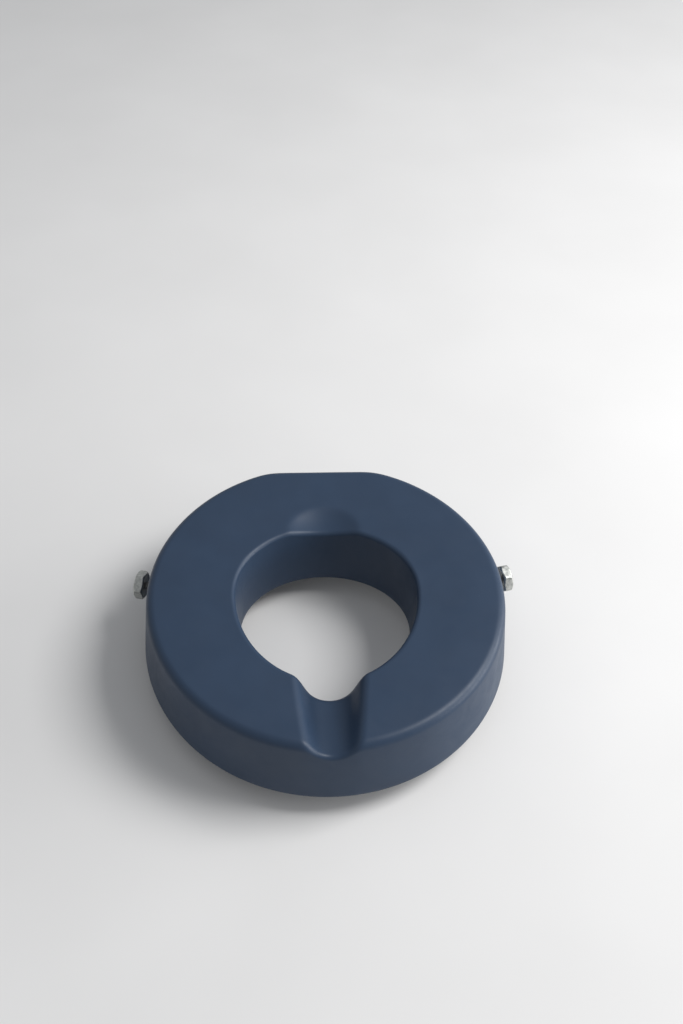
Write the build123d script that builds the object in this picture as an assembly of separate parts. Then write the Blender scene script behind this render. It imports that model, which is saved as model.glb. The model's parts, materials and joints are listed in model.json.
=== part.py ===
from build123d import *
import os

# Raised toilet seat: a moulded foam ring on a rigid base board, held to the pan by two side clamps.
# Millimetres. X to the user's right, Y to the back, Z up. Z = 0 is the top of the pan's rim,
# and the origin is the middle of the seat's underside.

# Seat ring
seat_half_width = 200.0
seat_front = 210.0
seat_back = 203.2
oval_y = 8.0
back_flat_y = 200.7
wall_draft = 7.0
seat_height = 80.0
pad_stand = 2.0
back_corner_radius = 14.0
top_edge_radius = 10.0

# Central hole, narrower at its foot: half width, front length and back length of the oval
hole_at_top = (101.5, 124.0, 92.5)
hole_at_foot = (98.0, 119.0, 84.0)
hole_edge_radius = 5.5

# Groove at the front and scoop behind the hole
groove_radii = (31.0, 26.0)
groove_depths = (33.0, 16.5)
scoop_half_width = 38.0
scoop_depth = 8.5

# Base board, moulded in flush with the underside
board_thickness = 10.0
board_outer_margin = 14.0
board_hole_margin = 10.0
rim_pad_radius = 152.0
rim_pad_sweep = 22.0
rim_pad_width = 14.0
rim_pad_thickness = 3.0
rim_pad_angles = (50.0, 130.0, 230.0, 310.0)

# Side clamps, drawn along X for the right-hand side, then swung about the knob so that
# the screw stands square to the seat's edge
clamp_y = 59.0
clamp_pivot_x = 213.1
clamp_swing = 13.0
screw_z = 34.0
sheet = 2.0
rail_width = 35.0
rail_inner_end = 130.0
rail_outer_end = 182.0
rail_top = 52.0
lip_width = 4.0
lug_length = 12.0
lug_reach = 13.0
lug_spots = (137.0, 168.0)
end_wall_foot = 13.0
jaw_pocket_end = 193.5

jaw_steel = 4.0
jaw_width = 30.0
jaw_leg_width = 22.0
jaw_upright_x = 148.0
jaw_leg_x = 180.0
jaw_arm_shoulder_x = 171.0
jaw_arm_z = 6.4
jaw_drop = 26.0
jaw_pad_thickness = 5.0
rivet_radius = 2.0
rivet_heights = (-9.0, -20.0)

screw_radius = 5.0
journal_radius = 4.0
running_gap = 0.05
end_gap = 0.1
washer_thickness = 1.0
clip_thickness = 1.0
clip_groove_radius = 3.2
journal_tail = 2.5
sleeve_radius = 7.0
nut_flats = 17.0
nut_height = 8.0

knob_flats = 30.0
knob_thickness = 11.0
knob_inner_face = 207.6
knob_turn = 10.0
left_screw_turn = 30.0
spigot_flats = 7.0
fixing_thread_radius = 2.0
fixing_head_radius = 4.2

under = pad_stand
top = under + seat_height
hole_back_y = oval_y + hole_at_top[2]
hole_front_y = oval_y - hole_at_top[1]
shoulder_x = jaw_upright_x + jaw_steel + washer_thickness + end_gap


def oval_face(half_width, front, back, z):
    """An egg-shaped face of two half ellipses that meet at the widest line."""
    front_half = EllipticalCenterArc((0, oval_y), half_width, front, 180, arc_size=180)
    back_half = EllipticalCenterArc((0, oval_y), half_width, back, 0, arc_size=180)
    return Pos(0, 0, z) * make_face([front_half, back_half])


def seat_outline(grow, z):
    """The seat's plan: an oval cut off flat at the back, grown all round by one margin."""
    face = oval_face(seat_half_width + grow, seat_front + grow, seat_back + grow, 0)
    keep = Pos(0, back_flat_y + grow - 500) * Rectangle(1000, 1000)
    cut = (face & keep).face()
    corners = cut.vertices().filter_by(lambda v: v.Y > back_flat_y + grow - 1)
    return Pos(0, 0, z) * fillet(corners, back_corner_radius)


def block(x0, x1, y0, y1, z0, z1):
    """A rectangular block between two corners."""
    return Pos((x0 + x1) / 2, (y0 + y1) / 2, (z0 + z1) / 2) * Box(x1 - x0, y1 - y0, z1 - z0)


def rod(x0, x1, radius, y=clamp_y, z=screw_z):
    """A cylinder along X."""
    return Pos((x0 + x1) / 2, y, z) * Rot(0, 90, 0) * Cylinder(radius, x1 - x0)


def tube(x0, x1, outer, inner):
    """A tube along X on the screw's line."""
    return rod(x0, x1, outer) - rod(x0 - 1, x1 + 1, inner)


def hexagon(x0, x1, flats, turn):
    """A hexagonal bar along X on the screw's line."""
    face = Plane.YZ * Rot(0, 0, turn) * RegularPolygon(flats / 2, 6, major_radius=False)
    return Pos(x0, clamp_y, screw_z) * extrude(face, x1 - x0)


def rim_pad_strips(z0, z1):
    """The four curved strips that sit on the pan's rim."""
    pads = []
    for angle in rim_pad_angles:
        line = CenterArc((0, oval_y), rim_pad_radius, angle - rim_pad_sweep / 2, rim_pad_sweep)
        pads.append(Pos(0, 0, z0) * extrude(SlotArc(line, rim_pad_width), z1 - z0))
    return pads


def swung(shape, angle):
    """A shape turned about the upright line through the knob."""
    pivot = Pos(clamp_pivot_x, clamp_y, 0)
    return pivot * Rot(0, 0, angle) * Pos(-clamp_pivot_x, -clamp_y, 0) * shape


def spun(shape, angle):
    """A shape turned about the screw's line."""
    return Pos(0, clamp_y, screw_z) * Rot(angle, 0, 0) * Pos(0, -clamp_y, -screw_z) * shape


def both_sides(shape):
    """A clamp shape in its place on the right, and its mirror image on the left."""
    placed = swung(shape, clamp_swing)
    return placed, mirror(placed, Plane.YZ)


def clamp_cavity(gap):
    """The room in the underside for one clamp: the rail, its lugs, the jaw's run and the screw."""
    half = rail_width / 2 + gap
    rail = block(rail_inner_end - gap, rail_outer_end + gap, clamp_y - half, clamp_y + half, 0, rail_top + gap)
    half_leg = jaw_leg_width / 2 + 1
    run = block(rail_outer_end, jaw_pocket_end, clamp_y - half_leg, clamp_y + half_leg, 0, end_wall_foot - 1)
    return rail + run


def lug_blocks(gap, z1):
    """The four flat lugs that hold one rail down."""
    half = rail_width / 2
    lugs = []
    for x in lug_spots:
        for side in (-1, 1):
            near = clamp_y + side * (half - sheet)
            far = clamp_y + side * (half + lug_reach + gap)
            edges = sorted((near, far))
            lugs.append(block(x - lug_length / 2 - gap, x + lug_length / 2 + gap, *edges, under, z1))
    return lugs


def lug_centres():
    """Where the rail's screws go, in plan."""
    reach = rail_width / 2 + lug_reach / 2 + 1
    return [(x, clamp_y + side * reach) for x in lug_spots for side in (-1, 1)]


def hole_section(share):
    """The hole's outline at a share of the seat's height, counted from the foot."""
    sizes = [foot + (head - foot) * share for foot, head in zip(hole_at_foot, hole_at_top)]
    return oval_face(*sizes, under + share * seat_height)


def board_hole():
    """The opening through the base board, set back from the foot of the hole."""
    sizes = [size + board_hole_margin for size in hole_at_foot]
    return extrude(oval_face(*sizes, -1), 50)


def seat_ring():
    """The foam ring without its insert: drafted wall, rounded edges, groove and scoop."""
    ring = loft([seat_outline(wall_draft, under), seat_outline(0, top)])
    ring = ring - loft([hole_section(-0.1), hole_section(1.1)])
    top_edges = ring.edges().filter_by(lambda e: e.bounding_box().min.Z > top - 0.01)
    rim = [e for e in top_edges if abs((e @ 0.5).X) < hole_at_top[0] + 1
           and hole_front_y - 1 < (e @ 0.5).Y < hole_back_y + 1]
    inner = ShapeList(rim)
    outer = ShapeList([e for e in top_edges if e not in rim])
    ring = fillet(outer, top_edge_radius)
    inner_again = ring.edges().filter_by(lambda e: any((e @ 0.5 - i @ 0.5).length < 0.01 for i in inner))
    return fillet(inner_again, hole_edge_radius)


def groove():
    """The round channel from the hole to the front, deepest and widest at the hole."""
    sections = []
    for along in (-0.35, 1.25):
        y = hole_front_y - along * (seat_front - hole_at_top[1])
        radius, depth = (hole + (front - hole) * along for hole, front in (groove_radii, groove_depths))
        sections.append(Pos(0, y, top - depth + radius) * Rot(90, 0, 0) * Circle(radius))
    return loft(sections)


def scoop():
    """The shallow dish behind the hole."""
    radius = (scoop_half_width**2 + scoop_depth**2) / (2 * scoop_depth)
    return Pos(0, hole_back_y, top + radius - scoop_depth) * Sphere(radius)


def make_base_board():
    plate = extrude(seat_outline(wall_draft - board_outer_margin, under), board_thickness)
    plate = plate - board_hole()
    half = rail_width / 2 + 0.3
    for notch in both_sides(block(rail_inner_end - 0.3, seat_half_width, clamp_y - half, clamp_y + half, 0, 20)):
        plate = plate - notch
    for lug in lug_blocks(0.3, under + sheet):
        for seat in both_sides(lug):
            plate = plate - seat
    for x, y in lug_centres():
        for hole in both_sides(Pos(x, y, under + sheet + 4) * Cylinder(2.0, 8)):
            plate = plate - hole
    for pad in rim_pad_strips(under, rim_pad_thickness):
        plate = plate - pad
    return plate


def make_seat_cushion():
    cushion = seat_ring() - groove() - scoop()
    board = extrude(seat_outline(wall_draft - board_outer_margin, under), board_thickness)
    cushion = cushion - (board - board_hole())
    for cavity in both_sides(clamp_cavity(0.3)):
        cushion = cushion - cavity
    for hole in both_sides(rod(rail_outer_end, 230, sleeve_radius)):
        cushion = cushion - hole
    return cushion


def make_rim_pads():
    return Compound(rim_pad_strips(0, rim_pad_thickness))


def make_clamp_rail():
    """A folded channel, open below between two lips, with an end wall for the nut."""
    half = rail_width / 2
    rail = block(rail_inner_end, rail_outer_end, clamp_y - half, clamp_y + half, under, rail_top)
    inner = half - sheet
    rail -= block(0, rail_outer_end - sheet, clamp_y - inner, clamp_y + inner, under + sheet, rail_top - sheet)
    slot = inner - lip_width
    rail -= block(0, rail_outer_end + 1, clamp_y - slot, clamp_y + slot, 0, under + sheet + 1)
    rail -= block(rail_outer_end - 5, rail_outer_end + 1, clamp_y - inner, clamp_y + inner, 0, end_wall_foot)
    rail -= rod(rail_outer_end - 5, rail_outer_end + 1, screw_radius + 0.5)
    for lug in lug_blocks(0, under + sheet):
        rail += lug
    for x, y in lug_centres():
        rail -= Pos(x, y, under) * Cylinder(2.2, 10)
    rail -= block(0, 300, clamp_y - slot, clamp_y + slot, 0, under + sheet + 1)
    return rail


def make_rail_screws():
    """Countersunk-style wood screws, four to a rail, up into the board."""
    screws = []
    for x, y in lug_centres():
        head = Pos(x, y, under - 0.9) * Cylinder(3.9, 1.8)
        shank = Pos(x, y, under + 3.5) * Cylinder(1.95, 7)
        drive = Pos(x, y, under - 1.5) * (Box(4.6, 0.9, 1.4) + Box(0.9, 4.6, 1.4))
        screws += both_sides(head + shank - drive)
    return Compound(screws)


def make_weld_nut():
    """The threaded nut behind the rail's end wall."""
    outer = rail_outer_end - sheet
    return hexagon(outer - nut_height, outer, nut_flats, 0) - rod(0, 300, screw_radius + running_gap)


def make_screw_sleeve():
    """The plastic liner in the foam wall, trimmed to the wall's slope."""
    liner = tube(rail_outer_end, 205, sleeve_radius, screw_radius + 0.5)
    ring = loft([seat_outline(wall_draft, under), seat_outline(0, top)])
    return liner & swung(ring, -clamp_swing)


def make_clamp_jaw():
    """A bent steel bracket: an upright on the screw, an arm in the rail and a leg beside the pan."""
    half = jaw_width / 2
    leg_half = jaw_leg_width / 2
    leg_end = jaw_leg_x + jaw_steel
    upright_end = jaw_upright_x + jaw_steel
    upright = block(jaw_upright_x, upright_end, clamp_y - half, clamp_y + half, jaw_arm_z, rail_top - sheet - 0.5)
    arm = block(jaw_upright_x, jaw_arm_shoulder_x, clamp_y - half, clamp_y + half, jaw_arm_z, jaw_arm_z + jaw_steel)
    neck = block(jaw_arm_shoulder_x - 2, leg_end, clamp_y - leg_half, clamp_y + leg_half, jaw_arm_z, jaw_arm_z + jaw_steel)
    leg = block(jaw_leg_x, leg_end, clamp_y - leg_half, clamp_y + leg_half, -jaw_drop, jaw_arm_z + jaw_steel)
    jaw = upright + arm + neck + leg
    foot = jaw.edges().filter_by(Axis.X).group_by(Axis.Z)[0]
    jaw = fillet(foot, 5)
    bend = jaw.edges().filter_by(Axis.Y).filter_by(lambda e: abs(e.center().X - leg_end) < 0.01)
    jaw = fillet(bend.group_by(Axis.Z)[-1], jaw_steel - 0.5)
    heel = jaw.edges().filter_by(Axis.Y).filter_by(lambda e: abs(e.center().X - jaw_upright_x) < 0.01)
    jaw = fillet(heel.group_by(Axis.Z)[0], jaw_steel - 0.5)
    jaw -= rod(jaw_upright_x - 1, upright_end + 1, journal_radius + running_gap)
    for z in rivet_heights:
        jaw -= rod(jaw_leg_x - 1, leg_end + 1, rivet_radius, z=z)
    return jaw


def make_jaw_pad():
    """The ribbed rubber face that grips the side of the pan."""
    leg_half = jaw_leg_width / 2
    face_x = jaw_leg_x - jaw_pad_thickness
    pad = block(face_x, jaw_leg_x, clamp_y - leg_half, clamp_y + leg_half, -jaw_drop, -3)
    lower = pad.edges().filter_by(Axis.X).group_by(Axis.Z)[0]
    pad = fillet(lower, 5)
    for z in rivet_heights:
        pad -= rod(face_x - 1, jaw_leg_x + 1, rivet_radius, z=z)
        pad -= rod(face_x - 1, jaw_leg_x - 2, 3.6, z=z)
    for z in (-6.0, -12.2, -14.5, -16.8, -23.2):
        pad -= block(face_x - 1, face_x + 0.8, clamp_y - 20, clamp_y + 20, z - 0.5, z + 0.5)
    return pad


def make_jaw_rivets():
    """Two rivets through the leg and the pad."""
    leg_end = jaw_leg_x + jaw_steel
    rivets = []
    for z in rivet_heights:
        shank = rod(jaw_leg_x - 2, leg_end, rivet_radius, z=z)
        sunk_head = rod(jaw_leg_x - 3, jaw_leg_x - 2, 3.5, z=z)
        outer_head = rod(leg_end, leg_end + 1.2, 3.5, z=z)
        rim = outer_head.edges().group_by(Axis.X)[-1]
        rivets.append(shank + sunk_head + fillet(rim, 0.9))
    return Compound(rivets)


def make_clamp_screw():
    """The threaded rod, with a journal for the jaw and a spigot for the knob."""
    journal_end = jaw_upright_x - end_gap - clip_thickness - journal_tail
    screw = rod(shoulder_x, knob_inner_face, screw_radius)
    screw = fillet(screw.edges().group_by(Axis.X)[0], 0.8)
    screw += rod(journal_end, shoulder_x, journal_radius)
    clip_x = jaw_upright_x - end_gap
    screw -= tube(clip_x - clip_thickness, clip_x, journal_radius + 1, clip_groove_radius)
    spigot = Pos(knob_inner_face + 3.5, clamp_y, screw_z) * Box(7, spigot_flats, spigot_flats)
    screw += spigot
    outer = knob_inner_face + 8
    screw -= rod(knob_inner_face, outer, fixing_thread_radius)
    return screw


def make_thrust_washer():
    x = jaw_upright_x + jaw_steel + end_gap / 2
    return tube(x, x + washer_thickness, 8.5, journal_radius + running_gap)


def make_retaining_clip():
    """An E-clip in the journal's groove."""
    x1 = jaw_upright_x - end_gap
    clip = tube(x1 - clip_thickness, x1, 7.5, clip_groove_radius)
    mouth = block(x1 - 5, x1 + 1, clamp_y - 2.4, clamp_y + 2.4, screw_z - 12, screw_z)
    window = tube(x1 - clip_thickness - 1, x1 + 1, 5.6, 4.3)
    keep = block(x1 - 5, x1 + 1, clamp_y - 1.5, clamp_y + 1.5, screw_z, screw_z + 12)
    keep += block(x1 - 5, x1 + 1, clamp_y - 12, clamp_y + 12, screw_z - 1.5, screw_z + 1.5)
    return clip - mouth - (window - keep)


def make_hex_knob():
    """The hexagonal knob, its corners turned back on both faces."""
    x0 = knob_inner_face
    x1 = x0 + knob_thickness
    knob = hexagon(x0, x1, knob_flats, knob_turn)
    turned = rod(x0, x1, knob_flats / 2 / 0.866 + 0.2)
    turned = chamfer(turned.edges().filter_by(GeomType.CIRCLE), 1.6, 2.6)
    knob = knob & turned
    knob -= Pos(x0 + 3.5, clamp_y, screw_z) * Box(7, spigot_flats, spigot_flats)
    knob -= rod(x0, x1 + 1, fixing_thread_radius + 0.3)
    knob -= rod(x1 - 2.2, x1 + 1, fixing_head_radius + 0.2)
    return knob


def make_knob_fixing_screw():
    """The socket screw that holds the knob on its spigot."""
    x1 = knob_inner_face + knob_thickness
    head = rod(x1 - 2.2, x1 - 0.2, fixing_head_radius)
    shank = rod(knob_inner_face + 1, x1 - 2.2, fixing_thread_radius)
    socket = hexagon(x1 - 1.8, x1 + 1, 2.5, 0)
    return head + shank - socket


os.makedirs("parts", exist_ok=True)

export_step(make_seat_cushion(), "parts/seat_cushion.step")
export_step(make_base_board(), "parts/base_board.step")
export_step(make_rim_pads(), "parts/rim_pads.step")
export_step(make_rail_screws(), "parts/rail_screws.step")

clamp_makers = {
    "clamp_rail": make_clamp_rail,
    "weld_nut": make_weld_nut,
    "screw_sleeve": make_screw_sleeve,
    "clamp_jaw": make_clamp_jaw,
    "jaw_pad": make_jaw_pad,
    "jaw_rivets": make_jaw_rivets,
    "clamp_screw": make_clamp_screw,
    "thrust_washer": make_thrust_washer,
    "retaining_clip": make_retaining_clip,
    "hex_knob": make_hex_knob,
    "knob_fixing_screw": make_knob_fixing_screw,
}
turning_parts = ("clamp_screw", "hex_knob", "knob_fixing_screw")
for name, make in clamp_makers.items():
    part = make()
    left_part = spun(part, left_screw_turn) if name in turning_parts else part
    export_step(both_sides(part)[0], f"parts/{name}_right.step")
    export_step(both_sides(left_part)[1], f"parts/{name}_left.step")
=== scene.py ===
import json
import math

import bmesh
import bpy
from mathutils import Matrix, Vector, noise


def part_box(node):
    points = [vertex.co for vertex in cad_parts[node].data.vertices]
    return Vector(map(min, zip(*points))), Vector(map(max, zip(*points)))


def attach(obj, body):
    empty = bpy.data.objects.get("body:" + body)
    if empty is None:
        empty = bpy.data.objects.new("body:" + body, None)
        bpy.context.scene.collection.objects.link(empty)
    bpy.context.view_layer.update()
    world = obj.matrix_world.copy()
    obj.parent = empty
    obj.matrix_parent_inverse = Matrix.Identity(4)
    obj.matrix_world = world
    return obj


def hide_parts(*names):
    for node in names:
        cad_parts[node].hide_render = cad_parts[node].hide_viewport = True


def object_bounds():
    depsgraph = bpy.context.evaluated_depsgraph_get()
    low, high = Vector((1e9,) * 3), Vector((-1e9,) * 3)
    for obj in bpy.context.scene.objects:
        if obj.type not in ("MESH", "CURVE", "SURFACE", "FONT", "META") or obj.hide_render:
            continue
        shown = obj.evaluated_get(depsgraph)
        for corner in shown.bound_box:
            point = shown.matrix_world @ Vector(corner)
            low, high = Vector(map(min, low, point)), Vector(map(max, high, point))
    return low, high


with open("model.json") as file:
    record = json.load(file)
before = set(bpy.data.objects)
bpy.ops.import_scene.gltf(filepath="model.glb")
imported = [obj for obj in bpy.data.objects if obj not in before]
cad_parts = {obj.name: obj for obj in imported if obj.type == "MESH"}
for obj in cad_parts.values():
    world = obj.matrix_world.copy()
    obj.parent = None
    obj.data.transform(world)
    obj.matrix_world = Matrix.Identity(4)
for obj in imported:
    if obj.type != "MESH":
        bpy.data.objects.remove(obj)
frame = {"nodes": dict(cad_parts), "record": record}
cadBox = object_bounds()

mm = 0.001
sides = {"right": 1, "left": -1}     # which way X runs outwards
print("frame loaded:", len(frame["nodes"]), "nodes")


def linearColour(hexCode):
    channels = []
    for start in (0, 2, 4):
        c = int(hexCode[start:start + 2], 16) / 255
        channels.append(c / 12.92 if c <= 0.04045 else ((c + 0.055) / 1.055) ** 2.4)
    return (*channels, 1.0)


def addNode(tree, kind, values=None, links=None, **fields):
    made = tree.nodes.new("ShaderNode" + kind)
    for field, value in fields.items():
        setattr(made, field, value)
    for key, value in (values or {}).items():
        made.inputs[key].default_value = value
    for key, source in (links or {}).items():
        tree.links.new(source, made.inputs[key])
    return made


def newMaterial(name):
    material = bpy.data.materials.new(name)
    material.use_nodes = True
    tree = material.node_tree
    shader = tree.nodes["Principled BSDF"]
    place = addNode(tree, "TexCoord").outputs["Object"]
    return material, tree, shader, place


def ramp(tree, source, stops):
    made = addNode(tree, "ValToRGB", links={"Fac": source})
    while len(made.color_ramp.elements) < len(stops):
        made.color_ramp.elements.new(0.5)
    for element, (place, colour) in zip(made.color_ramp.elements, stops):
        element.position = place
        element.color = colour if len(colour) == 4 else (*colour, 1)
    return made.outputs["Color"]


def meshPiece(name, vertices, faces, smoothAngle=40):
    mesh = bpy.data.meshes.new(name)
    mesh.from_pydata([tuple(c * mm for c in v) for v in vertices], [], faces)
    mesh.validate()
    piece = bpy.data.objects.new(name, mesh)
    bpy.context.scene.collection.objects.link(piece)
    tidy = bmesh.new()
    tidy.from_mesh(mesh)
    bmesh.ops.recalc_face_normals(tidy, faces=tidy.faces)
    tidy.to_mesh(mesh)
    tidy.free()
    mesh.shade_smooth()
    mesh.set_sharp_from_angle(angle=math.radians(smoothAngle))
    return piece


def applyModifiers(piece):
    graph = bpy.context.evaluated_depsgraph_get()
    finished = bpy.data.meshes.new_from_object(piece.evaluated_get(graph))
    piece.modifiers.clear()
    piece.data = finished
    return piece


def blendStep(value, low, high):
    t = min(1.0, max(0.0, (value - low) / (high - low)))
    return t * t * (3 - 2 * t)


# The camera stands above and in front of the seat and looks down at it.
camera = {"place": (-0.0421, -0.829, 1.0543), "pitch": 45.455, "yaw": 3.84, "roll": 1.9, "lens": 40.43}


def placeCamera():
    pitch, yaw, roll = (math.radians(camera[k]) for k in ("pitch", "yaw", "roll"))
    ahead = Vector((math.sin(yaw) * math.cos(pitch), math.cos(yaw) * math.cos(pitch), -math.sin(pitch)))
    level = Vector((math.cos(yaw), -math.sin(yaw), 0))
    up = level.cross(ahead)
    sideways = level * math.cos(roll) + up * math.sin(roll)
    upright = up * math.cos(roll) - level * math.sin(roll)
    data = bpy.data.cameras.new("camera")
    data.lens = camera["lens"]
    data.sensor_width = 36
    data.clip_start = 0.01
    view = bpy.data.objects.new("camera", data)
    turn = Matrix((sideways, upright, -ahead)).transposed().to_4x4()
    view.matrix_world = Matrix.Translation(camera["place"]) @ turn
    bpy.context.scene.collection.objects.link(view)
    bpy.context.scene.camera = view


placeCamera()
print("camera placed")


ringLow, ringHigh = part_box("seat_cushion")
ring = {                              # millimetres
    "top": ringHigh.z / mm,
    "underside": ringLow.z / mm,
    "wallDraft": 7.0,                 # how much wider the foot is than the top, each side
    "ovalY": 8.0,                     # where the oval is widest
    "outer": (200.0, 210.0, 203.2),   # half width, front and back half lengths of the top face
    "backFlatY": 200.7,               # the straight back edge
    "flatSoftness": 2.2,              # how softly the oval runs into it
    "hole": (101.5, 124.0, 92.5),     # half width, front and back at the top of the hole
    "holeFoot": (98.0, 119.0, 84.0),  # and at its foot
    "topRadius": 10.0,
    "holeRadius": 5.5,
    "footRadius": 3.0,
    "dish": 1.6,                      # the top face falls this much towards the hole
    "allowance": 0.2,                 # keeps the waves below the top face's own height
    "waves": ((0.28, 47, 3.1), (0.1, 17, 8.7)),   # height, breadth and layer of the skin's unevenness
    "boardMargin": 14.0,
    "boardHoleMargin": 10.0,
    "boardThickness": 10.0,
    "seam": 0.3,                      # between the board and the foam
}
groove = {                            # each pair is at the hole, then at the front
    "radius": (31.0, 26.0),
    "depth": (33.0, 16.5),
    "rimSoftness": (10.0, 8.0),
    "lipRadius": 6.0,                 # over the ring's outer edge
    "mouthRadius": 9.0,               # over the hole's edge
}
scoop = {"halfWidth": 40.0, "length": 35.0, "depth": 8.5, "softness": 0.9, "mouthRadius": 5.5}


def ovalPoint(angle, radii, grow=0.0):
    # angle 0 is the front, 90 degrees the right-hand side
    length = radii[1] if math.cos(angle) > 0 else radii[2]
    return (radii[0] + grow) * math.sin(angle), ring["ovalY"] - (length + grow) * math.cos(angle)


def outlinePoint(angle, grow=0.0):
    x, y = ovalPoint(angle, ring["outer"], grow)
    flat = ring["backFlatY"] + grow
    soft = ring["flatSoftness"]
    over = (y - flat) / soft
    if over > 0:
        y = flat - soft * math.log1p(math.exp(-over))
    elif over > -12:
        y = y - soft * math.log1p(math.exp(over))
    return x, y


def grooveDepth(x, y):
    # a round channel that rises and narrows towards the front, with both rims rounded over
    along = (ring["ovalY"] - ring["hole"][1] - y) / (ring["outer"][1] - ring["hole"][1])
    along = min(1.0, max(0.0, along))
    pairs = (groove["radius"], groove["depth"], groove["rimSoftness"])
    radius, depth, softness = (a + (b - a) * along for a, b in pairs)
    if abs(x) > radius + softness or y > 0:
        return 0.0
    total = 0.0
    steps = 12
    for k in range(-steps, steps + 1):
        t = x + softness * k / steps
        bare = depth - radius + math.sqrt(radius * radius - t * t) if abs(t) < radius else 0
        total += (1 - abs(k) / (steps + 1)) * max(0.0, bare)
    return total / (steps + 1)


def scoopDepth(x, y):
    # a shallow bowl centred on the hole's back edge, its rim blended out
    centre = ring["ovalY"] + ring["hole"][2]
    spread = math.hypot(x / scoop["halfWidth"], (y - centre) / scoop["length"])
    bare = scoop["depth"] * (1 - spread * spread)
    soft = scoop["softness"]
    return soft * math.log1p(math.exp(bare / soft)) if bare / soft < 30 else bare


def topHeight(x, y):
    edge = math.hypot(x / ring["outer"][0], (y - ring["ovalY"]) / ring["outer"][1])
    dish = ring["dish"] * (1 - blendStep(edge, 0.5, 0.86))
    unevenness = sum(height * noise.noise(Vector((x / breadth, y / breadth, layer)))
                     for height, breadth, layer in ring["waves"])
    cuts = dish + grooveDepth(x, y) + scoopDepth(x, y)
    return ring["top"] - ring["allowance"] - cuts + unevenness


def columnAngles():
    # Pairs of angles, at the outer edge and at the hole, one for each column of points.
    # Columns beside the groove run along it, so they share x at the hole and at the outer edge.
    beside = 46.0
    across = 36
    pairs = []
    for k in range(across + 1):
        x = beside * k / across
        pairs.append((math.asin(x / ring["outer"][0]), math.asin(x / ring["hole"][0])))

    # the rest go round to the back, where the spacing at the hole eases in from that of the groove
    around = 170
    start, startInner = pairs[-1]
    span = math.pi - start
    slope = (ring["outer"][0] * math.cos(start)) / (ring["hole"][0] * math.cos(startInner))
    for k in range(1, around + 1):
        t = k / around
        h00 = 2 * t**3 - 3 * t**2 + 1
        h10 = t**3 - 2 * t**2 + t
        h01 = -2 * t**3 + 3 * t**2
        h11 = t**3 - t**2
        inner = h00 * startInner + h10 * span * slope + h01 * math.pi + h11 * span
        pairs.append((start + span * t, inner))
    mirrored = [(-a, -b) for a, b in reversed(pairs[1:-1])]
    return pairs + mirrored


def slant(angle, radii, way):
    # cosine between the column and the square-on direction at an edge of that oval
    length = radii[1] if math.cos(angle) > 0 else radii[2]
    normal = Vector((math.sin(angle) / radii[0], -math.cos(angle) / length)).normalized()
    return max(0.5, abs(normal.dot(way)))


def edgeRadii(inner, outer):
    # how round the hole's edge and the outer edge are where one column crosses them
    inGroove = grooveDepth(inner.x, inner.y) / groove["depth"][0]
    inScoop = scoopDepth(inner.x, inner.y) / scoop["depth"]
    holeRadius = ring["holeRadius"] + (groove["mouthRadius"] - ring["holeRadius"]) * inGroove
    holeRadius += (scoop["mouthRadius"] - ring["holeRadius"]) * min(1.0, inScoop)
    atLip = min(1.0, grooveDepth(outer.x, outer.y) / groove["depth"][1] * 1.2)
    lipRadius = ring["topRadius"] + (groove["lipRadius"] - ring["topRadius"]) * atLip
    return holeRadius, lipRadius


def holeWallPoints(inner, innerFoot, lipInner, wallTop):
    # round the foot of the hole's wall, then up the wall
    under, foot = ring["underside"], ring["footRadius"]
    inwards = (lipInner - innerFoot).normalized()
    points = []
    for k in range(5):
        a = math.radians(90 - 22.5 * k)
        p = innerFoot + inwards * foot * (1 - math.cos(a))
        points.append((p.x, p.y, under + foot * (1 - math.sin(a))))
    for k in range(1, 12):
        z = under + foot + (wallTop - under - foot) * k / 12
        points.append((*innerFoot.lerp(inner, k / 12), z))
    return points


def topPoints(inner, way, length, radii, reaches):
    # over the hole's edge, across the top and over the outer edge
    holeRadius, lipRadius = radii
    holeReach, lipReach = reaches
    points = []
    for k in range(10):
        a = math.radians(9 * k)
        p = inner + way * holeReach * (1 - math.cos(a))
        points.append((p.x, p.y, topHeight(p.x, p.y) - holeRadius * (1 - math.sin(a))))
    across = 46
    for k in range(across + 1):
        p = inner + way * (holeReach + (length - holeReach - lipReach) * k / across)
        points.append((p.x, p.y, topHeight(p.x, p.y)))
    wallLean = math.atan(ring["wallDraft"] / (ring["top"] - ring["underside"]))
    for k in range(1, 12):
        a = math.radians(90) - (math.radians(90) - wallLean) * k / 11
        p = inner + way * (length - lipReach * (1 - math.cos(a)))
        points.append((p.x, p.y, topHeight(p.x, p.y) - lipRadius * (1 - math.sin(a))))
    return points


def outerWallPoints(start, low, lipOuter):
    # down the drafted wall and round its foot
    under, foot = ring["underside"], ring["footRadius"]
    wallX, wallY, wallTop = start
    points = []
    for k in range(1, 17):
        z = wallTop + (under + foot - wallTop) * k / 16
        points.append((*Vector((wallX, wallY)).lerp(low, k / 16), z))
    homeward = (lipOuter - low).normalized()
    for k in range(1, 5):
        a = math.radians(22.5 * k)
        p = low + homeward * foot * (1 - math.cos(a))
        points.append((p.x, p.y, under + foot * (1 - math.sin(a))))
    return points


def bedPoints(low, lipOuter, lipInner, innerFoot):
    # the lip round the board, the bed that the board lies in, and the inner lip
    under = ring["underside"]
    bevel = 0.4
    bed = under + ring["boardThickness"] + ring["seam"]
    points = [(*low.lerp(lipOuter, 0.6), under), (*lipOuter.lerp(low, 0.03), under)]
    points += [(*lipOuter, under + bevel), (*lipOuter, bed)]
    points += [(*lipOuter.lerp(lipInner, k / 8), bed) for k in range(1, 8)]
    points += [(*lipInner, bed), (*lipInner, under + bevel), (*lipInner.lerp(innerFoot, 0.04), under)]
    return points


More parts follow.
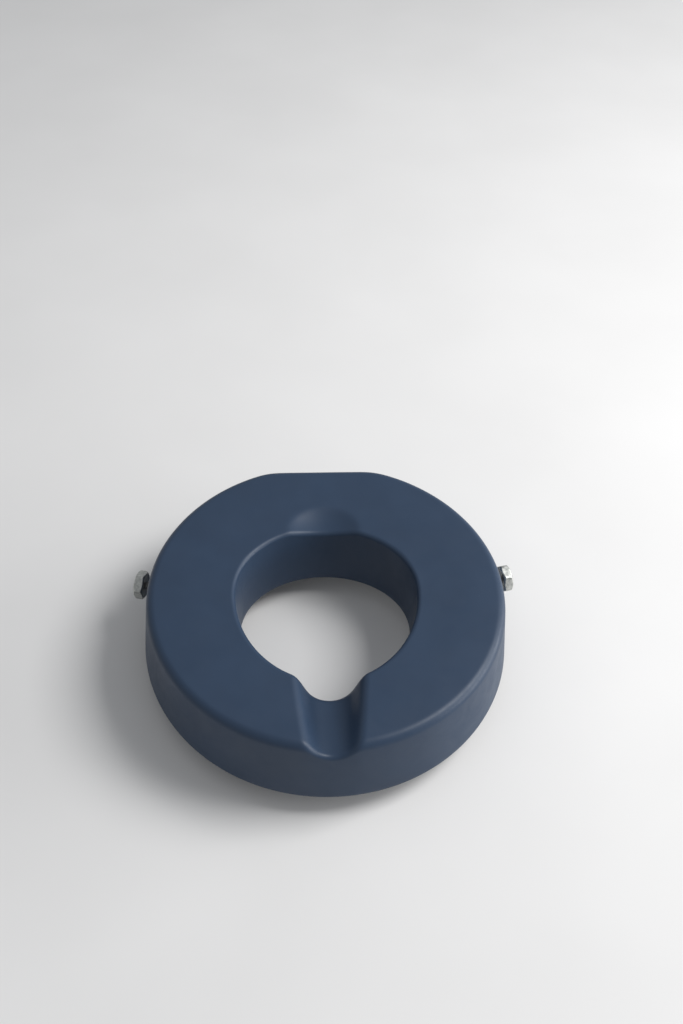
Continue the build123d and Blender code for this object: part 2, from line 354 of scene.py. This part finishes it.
def ringColumn(outerAngle, innerAngle):
    # one closed section through the ring: up the hole, over the top, down the wall and back below
    inner = Vector(ovalPoint(innerAngle, ring["hole"]))
    innerFoot = Vector(ovalPoint(innerAngle, ring["holeFoot"]))
    outer = Vector(outlinePoint(outerAngle))
    low = Vector(outlinePoint(outerAngle, ring["wallDraft"]))
    lipInner = Vector(ovalPoint(innerAngle, ring["holeFoot"], ring["boardHoleMargin"] - ring["seam"]))
    lipOuter = Vector(outlinePoint(outerAngle, ring["wallDraft"] - ring["boardMargin"] + ring["seam"]))
    way = (outer - inner).normalized()
    radii = edgeRadii(inner, outer)
    slants = (slant(innerAngle, ring["hole"], way), slant(outerAngle, ring["outer"], way))
    reaches = [radius / lean for radius, lean in zip(radii, slants)]
    column = holeWallPoints(inner, innerFoot, lipInner, topHeight(inner.x, inner.y) - radii[0])
    column += topPoints(inner, way, (outer - inner).length, radii, reaches)
    column += outerWallPoints(column[-1], low, lipOuter)
    column += bedPoints(low, lipOuter, lipInner, innerFoot)
    return column


def clampAxes(name):
    # from the record's joint: the middle of the knob, the way out along the screw and the way across
    joint = next(j for j in frame["record"]["behaviour"]["joints"] if j["name"] == "screw_turn_" + name)
    outward = -Vector(joint["axis"]).normalized()
    across = Vector((-outward.y, outward.x, 0)) * sides[name]
    return Vector(joint["pos_m"]) / mm, outward, across


clamps = {name: clampAxes(name) for name in sides}


def clampPoint(name, x, y, z):
    # x outwards from the middle of the knob, y across the screw, z up from the screw's line
    home, outward, across = clamps[name]
    return home + outward * x + across * y + Vector((0, 0, z))


def clampSpan(name, node):
    # how far a node reaches along its clamp's screw
    home, outward, _ = clamps[name]
    shape = frame["nodes"][node + name]
    reaches = [(shape.matrix_world @ v.co / mm - home).dot(outward) for v in shape.data.vertices]
    return min(reaches), max(reaches)


def wallReach(name):
    # where the screw's line leaves the foam wall
    height = ring["top"] - clamps[name][0].z
    grow = ring["wallDraft"] * height / (ring["top"] - ring["underside"])
    halfWidth, halfLength = ring["outer"][0] + grow, ring["outer"][2] + grow
    x = -30.0
    spread = 0.0
    while spread < 1:
        x += 0.1
        p = clampPoint(name, x, 0, 0)
        spread = (p.x / halfWidth) ** 2 + ((p.y - ring["ovalY"]) / halfLength) ** 2
    return x


def cutterBlock(name, lowCorner, highCorner):
    (x0, y0, z0), (x1, y1, z1) = lowCorner, highCorner
    corners = [clampPoint(name, x, y, z) for x in (x0, x1) for y in (y0, y1) for z in (z0, z1)]
    faces = [(0, 1, 3, 2), (4, 6, 7, 5), (0, 4, 5, 1), (2, 3, 7, 6), (0, 2, 6, 4), (1, 5, 7, 3)]
    return meshPiece("room", corners, faces)


def cutterRod(name, stations):
    # stations are (x, radius) pairs from the inside outwards
    count = 96
    turns = [2 * math.pi * k / count for k in range(count)]
    vertices = [clampPoint(name, x, r * math.cos(a), r * math.sin(a)) for x, r in stations for a in turns]
    faces = [tuple(range(count)), tuple(range(len(vertices) - count, len(vertices)))]
    for row in range(len(stations) - 1):
        for k in range(count):
            a, b = row * count + k, row * count + (k + 1) % count
            faces.append((a, b, b + count, a + count))
    return meshPiece("bore", vertices, faces)


room = {"half": 17.8, "jawHalf": 12, "jawRun": 11.5, "jawTop": 12, "below": -5, "gap": 0.3, "bore": 7.05}


def clampCutters(name):
    # the rail's room, the jaw's run beyond it, and the screw's bore with its mouth flared
    near, far = clampSpan(name, "clamp_rail_")
    line = clamps[name][0].z
    below = room["below"] - line
    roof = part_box("clamp_rail_" + name)[1].z / mm + room["gap"] - line
    half, jawHalf = room["half"], room["jawHalf"]
    rail = cutterBlock(name, (near - room["gap"], -half, below), (far + room["gap"], half, roof))
    jawEnd = (far + room["jawRun"], jawHalf, room["jawTop"] - line)
    jaw = cutterBlock(name, (far - 2, -jawHalf, below), jawEnd)
    wall = wallReach(name)
    stations = [(far - 3, room["bore"]), (wall - 3.2, room["bore"]), (wall - 1.6, 7.35)]
    stations += [(wall - 0.4, 8.3), (wall + 3, 12.0), (wall + 20, 12.0)]
    return [rail, jaw, cutterRod(name, stations)]


def cutClampRooms(piece):
    cutters = [cutter for name in sides for cutter in clampCutters(name)]
    for cutter in cutters:
        cut = piece.modifiers.new("cut", "BOOLEAN")
        cut.operation = "DIFFERENCE"
        cut.solver = "EXACT"
        cut.object = cutter
    applyModifiers(piece)
    for cutter in cutters:
        bpy.data.objects.remove(cutter)


def makeFoamRing():
    columns = [ringColumn(outer, inner) for outer, inner in columnAngles()]
    rows = len(columns[0])
    vertices = [v for column in columns for v in column]
    faces = []
    for c in range(len(columns)):
        here, there = c * rows, (c + 1) % len(columns) * rows
        for r in range(rows):
            up = (r + 1) % rows
            faces.append((here + r, there + r, there + up, here + up))
    piece = meshPiece("foam_ring", vertices, faces, smoothAngle=35)
    cutClampRooms(piece)
    piece.data.set_sharp_from_angle(angle=math.radians(35))
    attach(piece, "seat")
    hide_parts("seat_cushion")
    return piece


foamRing = makeFoamRing()
print("foam ring made:", len(foamRing.data.polygons), "faces")


screw = {                             # millimetres; an M10 rod
    "pitch": 1.5,
    "crest": 4.97,
    "root": 4.1,
    "journal": 3.98,                  # the plain end that turns in the jaw
    "journalLength": 10.05,
    "clipGroove": 3.2,
    "groovePlace": 2.5,               # from the inner end to the clip's groove
}
knob = {
    "flats": 30.0,
    "turn": {"right": 10.0, "left": 40.0},   # where a corner points, in degrees
    "faceRadius": 14.3,               # the turned faces inside the chamfers
    "chamferDepth": 2.6,
    "dishRadius": 9.5,                # the sunk ring round the fixing screw
    "blank": 18.0,                    # the round bar that the chamfers are turned from
}


def turnedPiece(kind, name, stations, radiusAt, count):
    # a body of rings along the screw, closed at both ends; radiusAt(x, angle, radius) shapes each ring
    vertices = []
    for x, radius in stations:
        for k in range(count):
            a = 2 * math.pi * k / count
            r = radiusAt(x, a, radius)
            vertices.append(clampPoint(name, x, r * math.cos(a), r * math.sin(a)))
    faces = []
    for row in range(len(stations) - 1):
        for k in range(count):
            a, b = row * count + k, row * count + (k + 1) % count
            faces.append((a, b, b + count, a + count))
    for row in (0, len(stations) - 1):
        x, _ = stations[row]
        middle = len(vertices)
        vertices.append(clampPoint(name, x, 0, 0))
        faces += [(row * count + k, row * count + (k + 1) % count, middle) for k in range(count)]
    return meshPiece(kind + name, vertices, faces, smoothAngle=32)


def softSmaller(a, b, soft):
    # the smaller of two lengths, blended where they meet
    return -soft * math.log(math.exp(-a / soft) + math.exp(-b / soft))


def threadRadius(x, angle, radius, side):
    # trapezoid ridges that climb one pitch a turn; a right-hand thread on both sides
    phase = (x / screw["pitch"] + side * angle / (2 * math.pi)) % 1.0
    ridge = min(1.0, max(0.0, 1.9 - abs(phase - 0.5) * 5.6))
    return screw["root"] + (radius - screw["root"]) * ridge


def screwStations(inner, outer):
    # (x, radius) from the jaw's end to the knob: journal, clip groove, shoulder, thread
    journal, root = screw["journal"], screw["root"]
    shoulder = inner + screw["journalLength"]
    clip = inner + screw["groovePlace"]
    stations = [(inner, journal - 0.6), (inner + 0.6, journal), (clip, journal)]
    stations += [(clip + 0.01, screw["clipGroove"]), (clip + 0.99, screw["clipGroove"])]
    stations += [(clip + 1, journal), (shoulder, journal), (shoulder + 0.01, root)]
    step = screw["pitch"] / 10
    x = shoulder + 0.3
    while x < outer - 0.4:
        stations.append((x, screw["crest"]))
        x += step
    return stations + [(outer - 0.05, root)]


def makeClampScrew(name):
    def radiusAt(x, angle, radius):
        isThread = radius == screw["crest"]
        return threadRadius(x, angle, radius, sides[name]) if isThread else radius

    inner = clampSpan(name, "clamp_screw_")[0]
    outer = clampSpan(name, "hex_knob_")[0]
    piece = turnedPiece("threaded_screw_", name, screwStations(inner, outer), radiusAt, 48)
    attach(piece, "screw_" + name)
    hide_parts("clamp_screw_" + name)
    return piece


def hexRadius(angle, turn):
    # distance to the flats of a hexagon whose corners are slightly rounded
    sector = math.radians(60)
    turned = (angle - math.radians(turn)) % sector - sector / 2
    flat = knob["flats"] / 2 / math.cos(turned)
    corner = knob["flats"] / 2 / math.cos(sector / 2) - 0.5
    return softSmaller(flat, corner, 0.35)


def knobStations(x0, x1):
    # (x, radius) from the inner face to the outer one: hub, face, chamfer, flats, chamfer, face, sunk ring
    face, cone, blank, dish = (knob[k] for k in ("faceRadius", "chamferDepth", "blank", "dishRadius"))
    stations = [(x0 + 0.9, 5.3), (x0 + 0.5, 5.9), (x0 + 0.35, 7.0), (x0 + 0.15, face - 1.5)]
    stations += [(x0 + 0.02, face - 0.9), (x0, face - 0.5), (x0 + 0.05, face - 0.1), (x0 + 0.25, face + 0.25)]
    for k in range(1, 9):
        stations.append((x0 + 0.25 + cone * k / 8, face + 0.25 + (blank - face) * k / 8))
    for k in range(1, 8):
        stations.append((x0 + 0.25 + cone + (x1 - x0 - 0.5 - 2 * cone) * k / 8, blank))
    for k in range(9):
        stations.append((x1 - 0.25 - cone + cone * k / 8, blank - (blank - face - 0.25) * k / 8))
    stations += [(x1 - 0.05, face - 0.1), (x1, face - 0.5), (x1 - 0.02, face - 0.9), (x1 - 0.05, dish + 0.4)]
    stations += [(x1 - 0.25, dish), (x1 - 0.9, dish - 0.6)]
    return stations + [(x1 - 0.95, 5.2), (x1 - 1.1, 4.9), (x1 - 2.2, 4.6)]


def makeHexKnob(name):
    def radiusAt(x, angle, radius):
        if radius < knob["faceRadius"] - 1.6:
            return radius
        return softSmaller(hexRadius(angle, knob["turn"][name]), radius, 0.3)

    stations = knobStations(*clampSpan(name, "hex_knob_"))
    piece = turnedPiece("hexagon_knob_", name, stations, radiusAt, 240)
    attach(piece, "screw_" + name)
    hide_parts("hex_knob_" + name)
    return piece


screwPieces = [makeClampScrew(name) for name in sides]
knobPieces = [makeHexKnob(name) for name in sides]
print("screws and knobs made")


foamLook = {
    "skin": "2B3C52", "dip": "29394E", "dust": "8A9CB4",
    "gloss": (0.39, 0.5),             # roughness where it is wiped and where it isn't
    "sheen": 0.34,                    # how much the skin mirrors; a waxed mould leaves it dull
}


def makeFoamSkin():
    # Integral-skin polyurethane, cast in a smooth mould.
    # The eye sees a satin slate blue, slightly cloudy, with fine orange peel and a few pale specks.
    material, tree, shader, place = newMaterial("polyurethane skin, moulded")
    cloudScale = {"Scale": 1 / 0.055, "Detail": 4, "Roughness": 0.55}
    cloud = addNode(tree, "TexNoise", cloudScale, {"Vector": place}).outputs["Fac"]
    shades = [(0.3, linearColour(foamLook["dip"])), (0.7, linearColour(foamLook["skin"]))]
    base = ramp(tree, cloud, shades)

    # dust and tiny pinholes, at most one in 9 mm
    specks = addNode(tree, "TexVoronoi", {"Scale": 1 / 0.009, "Randomness": 1.0}, {"Vector": place})
    crowd = addNode(tree, "TexNoise", {"Scale": 1 / 0.021, "Detail": 2}, {"Vector": place})
    sizes = {"From Min": 0.55, "From Max": 0.8, "To Min": 0.0, "To Max": 0.055}
    reach = addNode(tree, "MapRange", sizes, {"Value": crowd.outputs["Fac"]}).outputs["Result"]
    isSpeck = addNode(tree, "Math", links={0: specks.outputs["Distance"], 1: reach}, operation="LESS_THAN")
    amount = addNode(tree, "Math", {1: 0.55}, {0: isSpeck.outputs["Value"]}, operation="MULTIPLY")
    dusty = {"Factor": amount.outputs["Value"], "A": base}
    colour = addNode(tree, "Mix", {"B": linearColour(foamLook["dust"])}, dusty, data_type="RGBA")
    tree.links.new(colour.outputs["Result"], shader.inputs["Base Color"])

    # handling marks show as patches of a slightly different gloss, about 30 mm across
    wipeScale = {"Scale": 1 / 0.03, "Detail": 6, "Roughness": 0.6, "Distortion": 0.8}
    wipe = addNode(tree, "TexNoise", wipeScale, {"Vector": place}).outputs["Fac"]
    low, high = foamLook["gloss"]
    levels = {"From Min": 0.3, "From Max": 0.7, "To Min": low, "To Max": high}
    gloss = addNode(tree, "MapRange", levels, {"Value": wipe})
    tree.links.new(gloss.outputs["Result"], shader.inputs["Roughness"])

    # orange peel about 1.4 mm across over a finer grain of 0.35 mm
    peel = addNode(tree, "TexNoise", {"Scale": 1 / 0.0014, "Detail": 2}, {"Vector": place})
    grain = addNode(tree, "TexVoronoi", {"Scale": 1 / 0.00035}, {"Vector": place}, feature="SMOOTH_F1")
    coarse = addNode(tree, "Bump", {"Strength": 0.25, "Distance": 0.00006}, {"Height": peel.outputs["Fac"]})
    both = {"Height": grain.outputs["Distance"], "Normal": coarse.outputs["Normal"]}
    fine = addNode(tree, "Bump", {"Strength": 0.2, "Distance": 0.00003}, both)
    tree.links.new(fine.outputs["Normal"], shader.inputs["Normal"])
    shader.inputs["IOR"].default_value = 1.5
    shader.inputs["Specular IOR Level"].default_value = foamLook["sheen"]
    return material


def makeZincPlate(name, colour, dark, roughness):
    # zinc-plated steel, turned and tumbled: mid grey, soft highlights, mottled every 4 to 5 mm
    material, tree, shader, place = newMaterial(name)
    patches = {"Scale": 1 / 0.0045, "Detail": 5, "Roughness": 0.6}
    mottle = addNode(tree, "TexNoise", patches, {"Vector": place}).outputs["Fac"]
    tint = ramp(tree, mottle, [(0.35, linearColour(dark)), (0.65, linearColour(colour))])
    tree.links.new(tint, shader.inputs["Base Color"])
    levels = {"From Min": 0.3, "From Max": 0.7, "To Min": roughness - 0.06, "To Max": roughness + 0.1}
    haze = addNode(tree, "MapRange", levels, {"Value": mottle})
    tree.links.new(haze.outputs["Result"], shader.inputs["Roughness"])
    pits = addNode(tree, "TexNoise", {"Scale": 1 / 0.0009, "Detail": 3}, {"Vector": place})
    bump = addNode(tree, "Bump", {"Strength": 0.3, "Distance": 0.00004}, {"Height": pits.outputs["Fac"]})
    tree.links.new(bump.outputs["Normal"], shader.inputs["Normal"])
    shader.inputs["Metallic"].default_value = 1.0
    return material


def makeGalvanisedSheet():
    # hot-dip galvanised sheet: dull grey with crystals of spangle about 6 mm across
    material, tree, shader, place = newMaterial("galvanised steel sheet")
    spangle = addNode(tree, "TexVoronoi", {"Scale": 1 / 0.006}, {"Vector": place})
    tone = addNode(tree, "SeparateColor", links={"Color": spangle.outputs["Color"]})
    greys = [(0.0, linearColour("9A9EA1")), (1.0, linearColour("AFB2B5"))]
    tree.links.new(ramp(tree, tone.outputs["Red"], greys), shader.inputs["Base Color"])
    haze = addNode(tree, "MapRange", {"To Min": 0.38, "To Max": 0.56}, {"Value": tone.outputs["Green"]})
    tree.links.new(haze.outputs["Result"], shader.inputs["Roughness"])
    shader.inputs["Metallic"].default_value = 1.0
    return material


def makeMouldedRubber():
    # black moulded rubber: matt, a bloom of grey dust in the hollows
    material, tree, shader, place = newMaterial("natural rubber, moulded")
    patches = {"Scale": 1 / 0.012, "Detail": 5, "Roughness": 0.65}
    bloom = addNode(tree, "TexNoise", patches, {"Vector": place})
    tint = ramp(tree, bloom.outputs["Fac"], [(0.4, linearColour("1C1C1D")), (0.8, linearColour("333334"))])
    tree.links.new(tint, shader.inputs["Base Color"])
    pores = addNode(tree, "TexNoise", {"Scale": 1 / 0.0007, "Detail": 3}, {"Vector": place})
    bump = addNode(tree, "Bump", {"Strength": 0.4, "Distance": 0.00008}, {"Height": pores.outputs["Fac"]})
    tree.links.new(bump.outputs["Normal"], shader.inputs["Normal"])
    shader.inputs["Roughness"].default_value = 0.82
    shader.inputs["IOR"].default_value = 1.52
    return material


def makeMouldedPlastic(name, light, dark, roughness):
    # textured polypropylene: a fine leather-like grain about 0.9 mm across
    material, tree, shader, place = newMaterial(name)
    cloud = addNode(tree, "TexNoise", {"Scale": 1 / 0.04, "Detail": 4}, {"Vector": place})
    tint = ramp(tree, cloud.outputs["Fac"], [(0.35, linearColour(dark)), (0.65, linearColour(light))])
    tree.links.new(tint, shader.inputs["Base Color"])
    grain = addNode(tree, "TexVoronoi", {"Scale": 1 / 0.0009}, {"Vector": place}, feature="SMOOTH_F1")
    height = {"Height": grain.outputs["Distance"]}
    bump = addNode(tree, "Bump", {"Strength": 0.5, "Distance": 0.00012}, height)
    tree.links.new(bump.outputs["Normal"], shader.inputs["Normal"])
    shader.inputs["Roughness"].default_value = roughness
    shader.inputs["IOR"].default_value = 1.49
    return material


def makeOiledSpringSteel():
    # blued spring steel: nearly black with an oily sheen
    material, tree, shader, place = newMaterial("spring steel, blued")
    film = addNode(tree, "TexNoise", {"Scale": 1 / 0.003, "Detail": 3}, {"Vector": place})
    tint = ramp(tree, film.outputs["Fac"], [(0.3, linearColour("23242A")), (0.7, linearColour("3A3A40"))])
    tree.links.new(tint, shader.inputs["Base Color"])
    shader.inputs["Metallic"].default_value = 1.0
    shader.inputs["Roughness"].default_value = 0.38
    return material


def cover(node, material):
    slots = frame["nodes"][node].data.materials
    slots.clear()
    slots.append(material)


foamSkin = makeFoamSkin()
knobSteel = makeZincPlate("zinc-plated steel, tumbled", "CFD0CC", "A4A6A3", 0.42)
screwSteel = makeZincPlate("zinc-plated steel, rolled thread", "A9AAA8", "7F8080", 0.32)
sheetSteel = makeGalvanisedSheet()
blackRubber = makeMouldedRubber()
boardPlastic = makeMouldedPlastic("polypropylene, textured mould", "3A3C40", "2E3034", 0.6)
sleevePlastic = makeMouldedPlastic("nylon, moulded", "2A2B2E", "222326", 0.5)
springSteel = makeOiledSpringSteel()

foamRing.data.materials.append(foamSkin)
for piece in screwPieces:
    piece.data.materials.append(screwSteel)
for piece in knobPieces:
    piece.data.materials.append(knobSteel)
cover("base_board", boardPlastic)
cover("rim_pads", blackRubber)
cover("rail_screws", screwSteel)
for name in sides:
    for node in ("clamp_rail_", "clamp_jaw_"):
        cover(node + name, sheetSteel)
    for node in ("weld_nut_", "jaw_rivets_", "knob_fixing_screw_", "thrust_washer_"):
        cover(node + name, screwSteel)
    cover("jaw_pad_" + name, blackRubber)
    cover("screw_sleeve_" + name, sleevePlastic)
    cover("retaining_clip_" + name, springSteel)
print("materials made")


studio = {                            # metres
    "floor": "E0DFDE", "floorDip": "DCDBDA",
    "reach": 6.0,                     # half the floor's width
    "gap": 0.0005,                    # below the jaws' feet
    "world": 0.44,                    # the even light from all round
}


def makeFloor():
    mesh = bpy.data.meshes.new("studio_floor")
    reach = studio["reach"]
    z = cadBox[0][2] - studio["gap"]
    corners = [(-reach, -reach, z), (reach, -reach, z), (reach, reach, z), (-reach, reach, z)]
    mesh.from_pydata(corners, [], [(0, 1, 2, 3)])
    floor = bpy.data.objects.new("studio_floor", mesh)
    bpy.context.scene.collection.objects.link(floor)
    # a matt paper sweep: pale grey, clouded so faintly that it reads as plain
    material, tree, shader, place = newMaterial("paper sweep, matt")
    fibre = addNode(tree, "TexNoise", {"Scale": 1 / 0.25, "Detail": 3}, {"Vector": place})
    shades = [(0.3, linearColour(studio["floorDip"])), (0.7, linearColour(studio["floor"]))]
    tint = ramp(tree, fibre.outputs["Fac"], shades)
    tree.links.new(tint, shader.inputs["Base Color"])
    shader.inputs["Roughness"].default_value = 0.9
    floor.data.materials.append(material)


def addSoftbox(name, place, size, power):
    # aimed at the middle of the seat
    target = (0, 0, 0.05)
    data = bpy.data.lights.new(name, "AREA")
    data.shape = "RECTANGLE"
    data.size, data.size_y = size
    data.energy = power
    light = bpy.data.objects.new(name, data)
    light.location = place
    light.rotation_euler = (Vector(target) - Vector(place)).to_track_quat("-Z", "Y").to_euler()
    bpy.context.scene.collection.objects.link(light)


def lightStudio():
    world = bpy.data.worlds.new("pale studio")
    world.use_nodes = True
    background = world.node_tree.nodes["Background"]
    background.inputs["Color"].default_value = linearColour("EFF2F6")
    background.inputs["Strength"].default_value = studio["world"]
    bpy.context.scene.world = world
    addSoftbox("high softbox", (1.9, 0.2, 2.4), (1.4, 1.4), 74)
    addSoftbox("side panel", (3.4, 0.1, 0.8), (3.0, 1.1), 80)


makeFloor()
lightStudio()
bpy.context.scene.view_settings.view_transform = "Standard"
print("studio lit")
